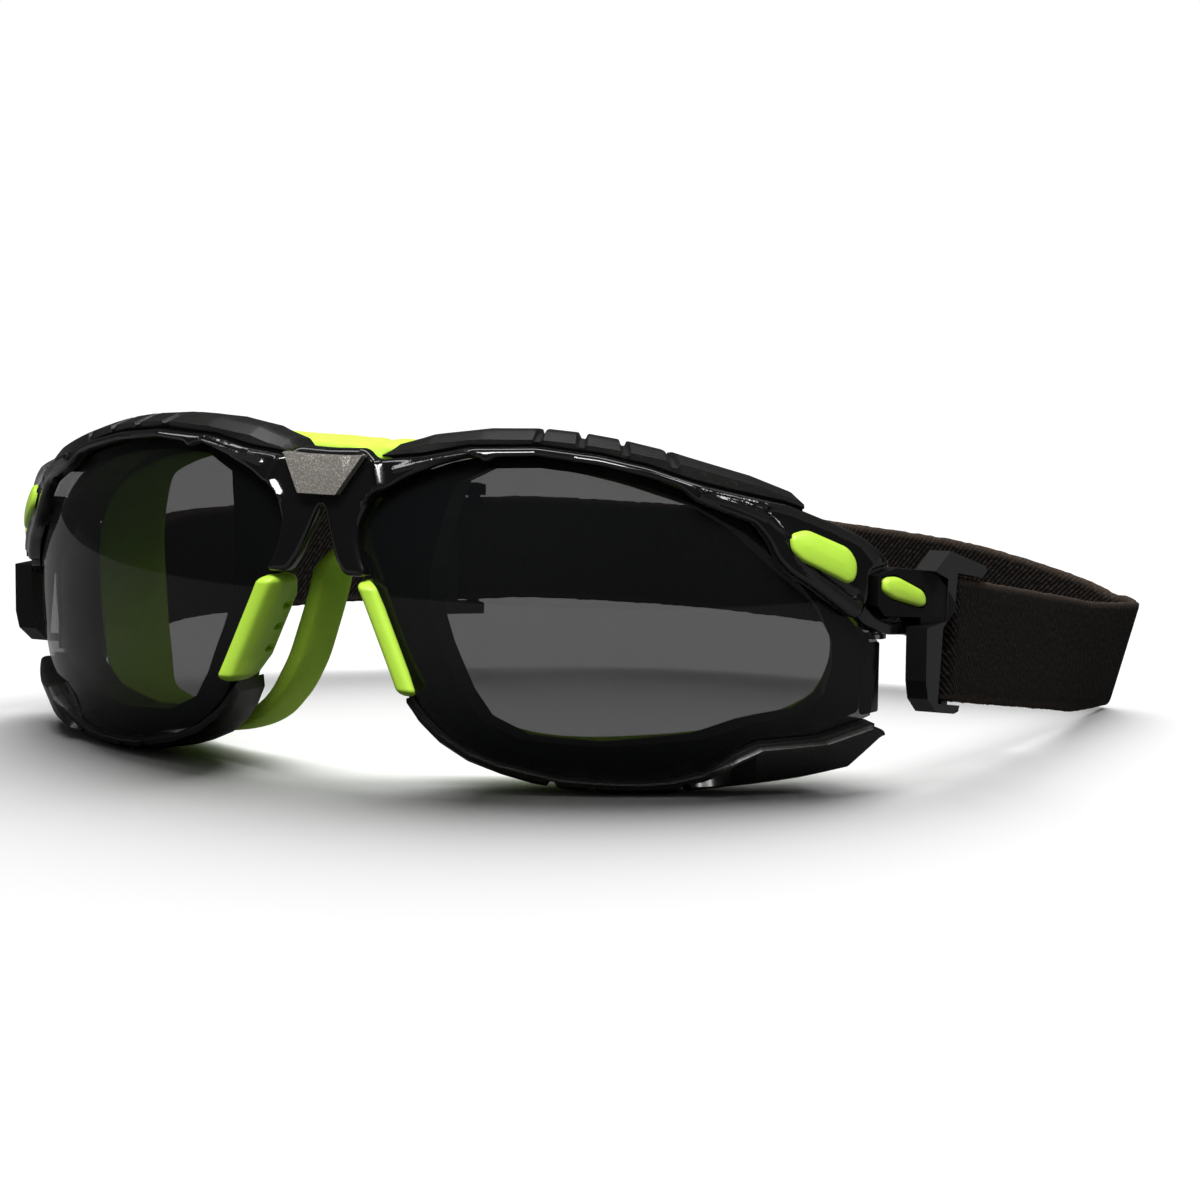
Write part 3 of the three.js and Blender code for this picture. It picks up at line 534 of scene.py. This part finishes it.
# Front frame: one relief from temple to temple, with its bevels and raised bars in the height
framePlan = {
    "face": 2.3, "edge": 0.75, "back": 0.4,
    "top": [(0, 48), (5.5, 48.2), (7.3, 46.7), (14.5, 47.5), (21.5, 48.9), (32.5, 49.3), (42, 48.3),
            (49.3, 46.8), (55.7, 44.8), (61.1, 43.5), (70, 41.6), (77.8, 38.6),
            (82.1, 36.8), (85.3, 34.4), (86.8, 32.5)],
    "end": [(82.8, 31.9), (82.4, 28), (80.9, 25.2)],
    "under": [(79.1, 25.4), (72.9, 29.8), (69.5, 31.9), (67.7, 33.8), (66.5, 36.5), (64.5, 39), (60.1, 40.6),
              (55.8, 42.2), (53.5, 44.2), (49.3, 45.4), (42, 47), (32.5, 48.1), (26.1, 47.8), (25.1, 46.9),
              (23.4, 47.9), (17.6, 46.4), (12.7, 44.4), (7.9, 41.3), (6.3, 37.8), (6.5, 35), (7.3, 32.4),
              (8.3, 30.2), (4.6, 30.2), (3.2, 32.3), (1.8, 35.9), (0.9, 38.6)],
    # raised or sunk lines: points, half width, height
    "lines": [([(7.6, 47.0), (9.0, 43.2), (7.0, 41.0)], 0.55, 0.5),
              ([(11, 45.6), (17.4, 47.4), (22.4, 48.3)], 0.35, 0.35),
              ([(57, 43.4), (61.6, 42.1), (66.6, 40.1), (69.4, 37.3), (70.8, 34.4), (74, 31.6), (80.6, 27)],
               0.45, 0.55),
              ([(56.5, 44.2), (62.2, 42.9), (70, 41), (77, 38.4), (81.4, 36.4), (84, 33.8)], 0.4, 0.5),
              ([(66.5, 40.9), (69.4, 36.6), (71.6, 33.6), (79.6, 28.4)], 0.35, -0.35)],
}


def frameHeight(p, distance):
    rise = np.full(len(p), framePlan["face"]) - roundedEdge(distance, framePlan["edge"])
    half = np.abs(p[:, 0])
    mirrored = np.stack([half, p[:, 1]], 1)
    for line, width, height in framePlan["lines"]:
        away = lineDistance(mirrored, np.array(line, float), closed=False)
        rise += height * np.exp(-(away / width) ** 2) * np.clip(distance / 0.5, 0, 1)
    return rise


halfOutline = framePlan["top"] + framePlan["end"] + framePlan["under"]
wholeOutline = halfOutline + [(0, 40.4)] + [(-v, z) for v, z in halfOutline[:0:-1]]
frameOutline = divided(softened(wholeOutline, 0.5), 0.5)
beside = (-0.8, -0.4, -0.2, 0, 0.2, 0.4, 0.8)
creases = np.vstack([besideLine(line, beside, 0.3) for line, _, _ in framePlan["lines"]])
creases = np.vstack([creases, creases * (-1, 1)])
frontPiece = reliefPiece("halfRimFront", frameOutline, framePlan["back"], frameHeight, glossNylon,
                         wrapAcross, 0.45, guides=creases)
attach(frontPiece, "frame")

# hinge lugs at each temple end: outline in the wrapped face, rear and front depth
lugPlan = [
    ([(68.3, 29.7), (78, 29.7), (78, 31.2), (68.3, 31.2)], -5.6, -1.9),
    ([(68.3, 29.7), (69.9, 29.7), (69.9, 31.2), (68.3, 31.2)], -5.6, 1.0),
    ([(66.4, 28.6), (66.8, 26.4), (69.2, 24.2), (73.6, 22.5), (78.4, 22.2), (78.9, 23.2), (74.6, 24),
      (71.4, 25.2), (69.6, 26.9), (68.2, 29.4)], 0.4, 1.8),
    ([(74.6, 22.4), (77.8, 22.4), (77.8, 24), (74.6, 24)], -5.6, 1.0),
]
framePieces = [frontPiece]
for side, word in ((1, "Left"), (-1, "Right")):
    for k, (outline, rear, front) in enumerate(lugPlan):
        shape = divided(softened(outline, 0.3), 0.3)
        lug = reliefPiece(f"hingeLug{k + 1}{word}", shape, rear,
                          lambda p, dist, front=front: front - roundedEdge(dist, 0.25),
                          glossNylon, wrap, 0.5, side)
        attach(lug, "frame")
        framePieces.append(lug)
for piece in framePieces:
    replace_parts(piece, "front_frame")
print("front frame made")

# Guards and bumpers: a profile of (height, depth) carried along the edge of the lens
guardPlan = {
    "back": -7.0, "front": 0.9, "chamfer": 1.2, "grooves": [19.9, 26.6, 33.3, 40.6], "grooveDepth": 0.8,
    "tongue": 0.9, "ends": (-4.6, 60.6), "swell": 0.35,
    "bottom": [(-5.2, 47.0), (2, 47.8), (9, 49.2), (20, 49.6), (29.5, 48.6), (36.8, 47.1), (43.2, 45.1),
               (48.6, 43.8), (57.5, 41.9), (61, 40.7)],
    "top": [(-5, 47.4), (-3.4, 48.8), (2.1, 50.4), (10.9, 51.4), (19.9, 51.6), (26.8, 51.1), (33.4, 50.2),
            (41.1, 48.7), (53.3, 45.5), (60, 43.1), (61, 42.2)],
}
bumperPlan = {
    "back": -7.0, "front": 0.8, "grooves": [23, 29.2, 43.2], "grooveDepth": 0.8, "flat": (31.5, 41.8),
    "tongue": 0.6, "ends": (1.6, 74.9), "low": (1.0, 43.5, 47), "high": (1.5, 46, 50.5), "wedge": (45.5, 50),
    "under": [(1.4, 12.1), (3.4, 9), (6.1, 6.4), (10, 4.1), (15.1, 2.4), (20, 1.2), (24.3, 0.6), (31, 0),
              (42, 0), (45.8, 0.5), (54, 1), (62.3, 1.6), (69.3, 2.4), (75.2, 7)],
    "inner": [(1.4, 13.3), (3.6, 10.7), (6.2, 8.1), (10.3, 5.5), (15.1, 3.8), (24.3, 1.9), (31, 1.5),
              (36.5, 1.4), (41, 1.7), (46, 2.7), (50.5, 5.6), (54, 7.1), (64.7, 7.5), (72.6, 9.3), (75.2, 8.3)],
}


def edgeHeight(line, u):
    p = np.array(line, float)
    return np.interp(u, p[:, 0], p[:, 1])


def eased(u, low, high):
    t = np.clip((u - low) / (high - low), 0, 1)
    return t * t * (3 - 2 * t)


def grooved(u, plan):
    # a flat-bottomed groove 0.9 mm wide with sloping sides at each place
    away = np.abs(u[:, None] - np.array(plan["grooves"])).min(1)
    return plan["grooveDepth"] * np.clip((0.8 - away) / 0.35, 0, 1)


def railPiece(name, u, profile, material, side):
    # profile: list of (height, depth) arrays, one value for each station
    rings = np.stack([wrap(u, z, d + 0 * u) for z, d in profile], 1)
    rings[..., 0] *= side
    piece = tubePiece(name, rings, material, angle=40)
    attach(piece, "frame")
    return piece


for side, word in ((1, "Left"), (-1, "Right")):
    start, stop = guardPlan["ends"]
    u = np.linspace(start, stop, 240)
    top = edgeHeight(guardPlan["top"], u) - grooved(u, guardPlan)
    bottom = np.minimum(edgeHeight(guardPlan["bottom"], u), top - 0.3)
    slope = np.minimum(guardPlan["chamfer"], (top - bottom) * 0.6)
    # behind the frame's top edge the guard reaches down to the lens
    tongue = guardPlan["tongue"] * eased(u, start, -1)
    swell = guardPlan["swell"] * np.sin(np.pi * np.clip((u - start) / (stop - start), 0, 1))
    guard = railPiece(f"browGuard{word}", u, [
        (bottom - tongue, guardPlan["back"]), (bottom - tongue, 0.25), (bottom, 0.3),
        (bottom, guardPlan["front"] - 0.3), (bottom + 0.25, guardPlan["front"]),
        (top - slope, guardPlan["front"] + swell), (top - 0.25, -0.9), (top, -1.5), (top, -4.0),
        (top - 0.3, guardPlan["back"])], satinBlack, side)
    addBevel(guard, 0.12, 2, 28)
    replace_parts(guard, f"brow_guard_{word.lower()}")

    u = np.sort(np.concatenate([np.linspace(*bumperPlan["ends"], 260), bumperPlan["flat"]]))
    under = edgeHeight(bumperPlan["under"], u) + grooved(u, bumperPlan)
    inner = np.maximum(edgeHeight(bumperPlan["inner"], u), under + 0.5)
    # the wedge starts along a diagonal, first at its lower edge, and has a rounded top ridge
    low = bumperPlan["low"][0] * eased(u, *bumperPlan["low"][1:])
    high = bumperPlan["high"][0] * eased(u, *bumperPlan["high"][1:])
    lip = np.minimum(0.8, (inner - under) / 2)
    share = eased(u, *bumperPlan["wedge"])
    ridge = (under + (inner - under) * 0.62) * (1 - share) + (inner - 0.9) * share
    ridge = np.maximum(ridge, under + lip + 0.02)
    front = bumperPlan["front"]
    crest = front + high * (1 - share * 0.95)
    bumper = railPiece(f"lowerBumper{word}", u, [
        (under, bumperPlan["back"]), (under, -0.6), (under + lip * 0.4, 0.1), (under + lip, front + low),
        *[(ridge + (inner - ridge) * math.sin(k), front + high + (crest - front - high) * (1 - math.cos(k)))
          for k in np.radians((0, 22, 45, 68, 90))],
        (inner, -0.1), (inner + bumperPlan["tongue"], -0.2),
        (inner + bumperPlan["tongue"], bumperPlan["back"])],
        satinBlack, side)
    addBevel(bumper, 0.15, 2, 28)
    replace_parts(bumper, f"lower_bumper_{word.lower()}")
print("guards and bumpers made")

# Face seal: a closed path round each eye, carrying a soft-cornered section that leans rearwards
sealPlan = {
    "front": -8.75, "width": 4.6, "lean": 3.0, "centre": (32, 26),
    "stations": 220, "section": 28, "round": 0.42,
    "path": [(-9.4, 30, 8), (-8.6, 26, 8), (-7, 20.6, 8), (-4.6, 14.6, 8), (-0.5, 8.9, 8), (5.4, 5.1, 8.6),
             (14, 2.8, 9), (25, 1.8, 10), (37, 2.1, 11.5), (49, 3.6, 13), (60, 6, 14), (70, 9.8, 14.5),
             (74.8, 16.6, 15), (74, 23.6, 15), (69.4, 29.8, 14.5), (61.6, 36.2, 14), (52, 41.4, 13),
             (42, 44.9, 12), (32, 47.4, 11), (21, 48.6, 10), (10, 48.9, 9), (0, 48.8, 8), (-8, 48.6, 8),
             (-13.2, 47.6, 8), (-13.2, 40, 8), (-13.2, 34.6, 8), (-11.4, 32.6, 8)],
}


def makeSeal(name, side):
    path = splineThrough(sealPlan["path"], sealPlan["stations"], closed=True)
    toward = np.array(sealPlan["centre"]) - path[:, :2]
    toward /= np.linalg.norm(toward, axis=1, keepdims=True)
    inner = path[:, :2] + toward * sealPlan["width"]
    depth = path[:, 2]
    level = np.full(len(path), sealPlan["front"])
    front = wrap(path[:, 0] + toward[:, 0], path[:, 1] + toward[:, 1], level)
    frontInner = wrap(inner[:, 0] - toward[:, 0], inner[:, 1] - toward[:, 1], level)
    rear = wrap(path[:, 0], path[:, 1], level)
    rearInner = wrap(inner[:, 0], inner[:, 1], level)
    rearwards = np.stack([-sealPlan["lean"] * eased(path[:, 0], 40, 70), depth, 0 * depth], 1)
    rear += rearwards
    rearInner += rearwards
    # a square with its corners rounded: each coordinate is a power of the sine or cosine
    angle = np.linspace(0, 2 * math.pi, sealPlan["section"], endpoint=False)
    s = np.sign(np.cos(angle)) * np.abs(np.cos(angle)) ** sealPlan["round"] * 0.5 + 0.5
    t = np.sign(np.sin(angle)) * np.abs(np.sin(angle)) ** sealPlan["round"] * 0.5 + 0.5
    s, t = s[None, :, None], t[None, :, None]
    rings = ((front[:, None] * (1 - s) + frontInner[:, None] * s) * (1 - t)
             + (rear[:, None] * (1 - s) + rearInner[:, None] * s) * t)
    rings[..., 0] *= side
    piece = tubePiece(name, rings, limeFoam, loop=True, angle=70)
    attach(piece, "frame")
    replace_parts(piece, "face_seal")


makeSeal("foamSealLeft", 1)
makeSeal("foamSealRight", -1)
print("face seal made")

# Temple walls of the carrier: a bar behind the lens edge, its section a rounded oblong in plan
wallPlan = {"x": 69.2, "y": -36.0, "rear": (69.6, -32.4), "half": 0.55, "low": 10.4, "high": 20.7}


def makeWall(name, side):
    start, stop = np.array([wallPlan["x"], wallPlan["y"]]), np.array(wallPlan["rear"])
    along = (stop - start) / np.linalg.norm(stop - start)
    beside = np.array([-along[1], along[0]])
    angle = np.linspace(0, 2 * math.pi, 24, endpoint=False)
    middle = np.where(np.cos(angle)[:, None] > 0, stop, start)
    loop = middle + wallPlan["half"] * (np.cos(angle)[:, None] * along + np.sin(angle)[:, None] * beside)
    z = np.array([0, 0.1, 0.35, 0.7, 1]) * 0.5
    z = np.concatenate([wallPlan["low"] + z, wallPlan["high"] - z[::-1]])
    inset = np.array([0.5, 0.8, 0.95, 1, 1, 1, 1, 0.95, 0.8, 0.5])[:, None, None]
    flat = middle[None] + (loop - middle)[None] * inset
    rings = np.concatenate([flat, np.broadcast_to(z[:, None, None], (len(z), len(angle), 1))], 2)
    rings[..., 0] *= side
    piece = tubePiece(name, rings, satinCarrier, angle=50)
    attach(piece, "frame")


makeWall("carrierWallLeft", 1)
makeWall("carrierWallRight", -1)
print("carrier walls made")

# Nose pads: a soft blade along the inner edge of each lens, with three vent slots by its rear edge
padPlan = {"top": 29.6, "length": 16.2, "x": 6.2, "slope": 7.2, "front": -75.9, "depth": 9.6,
           "slots": (0.3, 0.5, 0.7), "slotDepth": 0.9, "slotReach": (0.5, 0.86), "rings": 130, "section": 60}


def makePad(name, side):
    t = np.linspace(0, 1, padPlan["rings"])
    away = np.minimum(t, 1 - t) * padPlan["length"]
    ends = np.sqrt(1 - np.clip(1 - away / 1.3, 0, 1) ** 2)
    outline = [
        (2.6, 0), (0.9, 0), (0.05, 1.2), (-0.55, 3), (-0.8, 5), (-0.3, 7.6), (0.2, 9.2), (0.8, 9.6),
        (1.35, 9.1), (1.35, 6), (1.3, 3), (1.6, 1.75), (2.9, 1.65), (3.2, 0.8)]
    shape = splineThrough(outline, padPlan["section"], closed=True)
    x = shape[None, :, 0] * np.ones((len(t), 1))
    y = shape[None, :, 1] * (0.72 + 0.28 * np.clip(away / 3.5, 0, 1))[:, None]
    # slots: sunk into the side that faces the nose
    along = np.abs(t[:, None, None] - np.array(padPlan["slots"])).min(2) * padPlan["length"]
    reachBack = y / padPlan["depth"]
    near, far = padPlan["slotReach"]
    slot = (np.clip((0.5 - along) / 0.18, 0, 1) * np.clip((reachBack - near) / 0.06, 0, 1)
            * np.clip((far - reachBack) / 0.06, 0, 1))
    x = x + np.where(x < 0.6, slot * padPlan["slotDepth"], 0)
    middle = np.array([1.2, 3.6])
    x = middle[0] + (x - middle[0]) * ends[:, None] + padPlan["x"] + padPlan["slope"] * t[:, None]
    y = middle[1] + (y - middle[1]) * (0.35 + 0.65 * ends[:, None]) + padPlan["front"]
    z = np.broadcast_to((padPlan["top"] - padPlan["length"] * t)[:, None], x.shape)
    rings = np.stack([x * side, y, z], -1)
    piece = tubePiece(name, rings, limeRubber, angle=50)
    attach(piece, "frame")
    return piece


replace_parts(makePad("nosePadLeft", 1), "nose_pad_left")
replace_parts(makePad("nosePadRight", -1), "nose_pad_right")
print("nose pads made")

# Headband: a flat ribbon along a route of (x, y, z, lean), lean being its tilt to the rear
bandPlan = {"width": 18.4, "thickness": 1.5, "slope": -0.148, "lean": math.radians(8.5),
            "bar": (75.6, -19.7, 20.2), "barHalf": 0.8, "barLength": 2.6, "slider": (-43.4, 49.5, 21.2),
            "run": (-0.73, -0.6834), "step": 0.8}


def nearPoint(x, y, lean=bandPlan["lean"], spreadOut=0.0):
    # the near run falls to the rear in a straight line
    return (x, y, bandPlan["bar"][2] + (y - bandPlan["bar"][1]) * bandPlan["slope"], lean, spreadOut)


def roundBar(side, start, stop):
    # the turn round the clip's bar
    radius = bandPlan["barHalf"] + 0.3 + bandPlan["thickness"] / 2
    angle = np.radians(np.linspace(start, stop, 9))
    y = bandPlan["bar"][1] - bandPlan["barLength"] / 2 - radius * np.sin(angle)
    return [nearPoint(side * (bandPlan["bar"][0] + radius * math.cos(k)), v) for k, v in zip(angle, y)]


def onSlider(distance, offset=0.0):
    x, y = bandPlan["run"]
    sx, sy, sz = bandPlan["slider"]
    return (sx + x * distance + y * offset, sy + y * distance - x * offset, sz, 0, 0)


def ribbonPiece(name, route):
    route = np.array(route, float)
    length = np.linalg.norm(np.diff(route[:, :3], axis=0), axis=1).sum()
    path = splineThrough(route, int(length / bandPlan["step"]))
    centre, lean, spreadOut = path[:, :3], path[:, 3], path[:, 4]
    ahead = np.gradient(centre, axis=0)
    out = np.stack([ahead[:, 1], -ahead[:, 0], 0 * lean], 1)
    out /= np.linalg.norm(out, axis=1, keepdims=True)
    up = np.stack([np.tan(spreadOut), np.tan(lean), 1 + 0 * lean], 1)
    up /= np.linalg.norm(up, axis=1, keepdims=True)
    # section: flat faces that round off over the last half millimetre of the width
    half = bandPlan["width"] / 2
    stations = np.array([-1, -0.985, -0.95, -0.88, -0.7, -0.45, -0.2,
                         0, 0.2, 0.45, 0.7, 0.88, 0.95, 0.985, 1])
    rise = bandPlan["thickness"] / 2 * (1 - np.abs(stations) ** 26) ** 0.5
    wide = np.concatenate([stations, stations[-2:0:-1]]) * half
    thick = np.concatenate([rise, -rise[-2:0:-1]])
    jitter = np.random.default_rng(7).normal(0, 0.05, (len(path), 1)) * (np.abs(wide) > half * 0.97)
    rings = centre[:, None] + out[:, None] * thick[None, :, None] + up[:, None] * (wide + jitter)[..., None]
    run = np.concatenate([[0], np.cumsum(np.linalg.norm(np.diff(centre, axis=0), axis=1))])
    uv = np.stack(np.broadcast_arrays(run[:, None], wide[None] + half), -1).reshape(-1, 2)
    piece = tubePiece(name, rings, webbing, angle=60, uv=uv)
    return piece


bendPlan = {"x": 73.75, "y": 64.3, "z": 9, "radius": 3, "rise": 0.9, "lean": 0.28, "spread": 0.19, "turn": 112}
leftRoute = [nearPoint(x, y) for x, y in [(75.75, 12.3), (75.75, -4.2), (75.3, -8.7), (74.3, -13.2),
                                          (73.75, -17.9)]]
leftRoute += roundBar(1, 180, 0)
leftRoute += [nearPoint(x, y) for x, y in [(77.45, -17.7), (77.47, -5.7), (77.49, 4.3), (77.5, 14.8)]]
leftRoute += [nearPoint(77.4, 28.3, 0.17, 0.03), nearPoint(77.2, 44.3, 0.22, 0.11)]
bend = np.radians(np.linspace(0, bendPlan["turn"], 7))
for k in bend:
    leftRoute.append((bendPlan["x"] + bendPlan["radius"] * math.cos(k),
                      bendPlan["y"] + bendPlan["radius"] * math.sin(k),
                      bendPlan["z"] + bendPlan["rise"] * k / bend[-1], bendPlan["lean"], bendPlan["spread"]))
leftRoute += [(65, 70.3, 12.2, 0.2, 0.1), (46, 73.5, 16.2, 0, 0), (25, 74.1, 18.2, 0, 0),
              (4, 75.1, 19.4, 0, 0), (-14, 71.7, 20.2, 0, 0), onSlider(-16), onSlider(-8), onSlider(0)]
leftBand = ribbonPiece("headbandLeft", leftRoute)
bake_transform(leftBand)
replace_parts(leftBand, "strap_end_left", "strap_band")


def farLean(x, y, z):
    t = min(max((y + 19.7) / 34, 0), 1)
    return (x, y, z, bandPlan["lean"] * (1 - t * t * (3 - 2 * t)), 0)


rightRoute = [onSlider(0), onSlider(8), onSlider(16), (-61.8, 30.9, 20.8, 0, 0)]
rightRoute += [farLean(*p) for p in [(-68.6, 17.3, 20.4), (-71.4, 6.8, 20.2), (-73.2, -6.2, 19.1),
                                     (-73.75, -16.7, 19.75)]]
rightRoute += roundBar(-1, 180, 0)
rightRoute += [farLean(*p) for p in [(-77.4, -16.7, 19.75), (-76.2, -5.7, 19.1), (-73.8, 7.0, 20.2)]]
rightRoute += [(-70.9, 18.2, 20.4, 0, 0), (-67.3, 25.7, 20.6, 0, 0), (-63.4, 32.1, 20.8, 0, 0),
               onSlider(15.5, 1.9)]
rightBand = ribbonPiece("headbandRight", rightRoute)
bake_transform(rightBand)
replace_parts(rightBand, "strap_end_right", "strap_return")
print("headband made")

# Inlays and release buttons: soft-edged islands with a slight crown
islandPlan = {
    "inlay": ([(56.9, 37.6), (59.6, 38.2), (66.3, 35.4), (67.5, 33.4), (67.2, 31.1), (66, 30.2),
               (58.3, 33.9), (56.9, 35.4)], 2.5, 3.0, 0.5),
    "button": ([(71.9, 31), (74.5, 31), (79.7, 28.6), (80.2, 26.8), (79.2, 26.2), (73.6, 27.8), (71.7, 29)],
               1.5, 3.2, 0.45),
}


def crowned(top, crown):
    return lambda p, dist: top + crown * (1 - np.exp(-dist / 1.1)) - roundedEdge(dist, 0.45)


for side, word in ((1, "Left"), (-1, "Right")):
    for key, body, replaced, material, slotName in (
            ("inlay", "frame", "end_inlay", limeRubber, "lime_rubber"),
            ("button", f"button_{word.lower()}", "release_button", limeGloss, "lime_plastic")):
        outline, rear, top, crown = islandPlan[key]
        shape = divided(softened(outline, 0.5), 0.3)
        island = reliefPiece(f"{key}{word}", shape, rear, crowned(top, crown), material,
                             wrap, 0.35, side, 60)
        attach(island, body)
        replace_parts(island, f"{replaced}_{word.lower()}")
print("inlays and buttons made")

# carried-over CAD nodes: joined corners, a small bevel, and the real finish
carried = {"bridge_plate": (graphitePlate, 0.22), "gasket_carrier": (satinCarrier, 0.25),
           "strap_slider": (glossNylon, 0.3)}
for side in ("left", "right"):
    carried[f"strap_clip_{side}"] = (matteNylon, 0.4)
    carried[f"latch_leaf_{side}"] = (drawnSteel, 0.05)
    carried[f"hinge_pin_{side}"] = (drawnSteel, 0.08)
for key, (material, width) in carried.items():
    node = nodes[key]
    node.data.materials.clear()
    node.data.materials.append(material)
    addBevel(node, width, 2, 35, weld=True)
print("carried nodes finished")
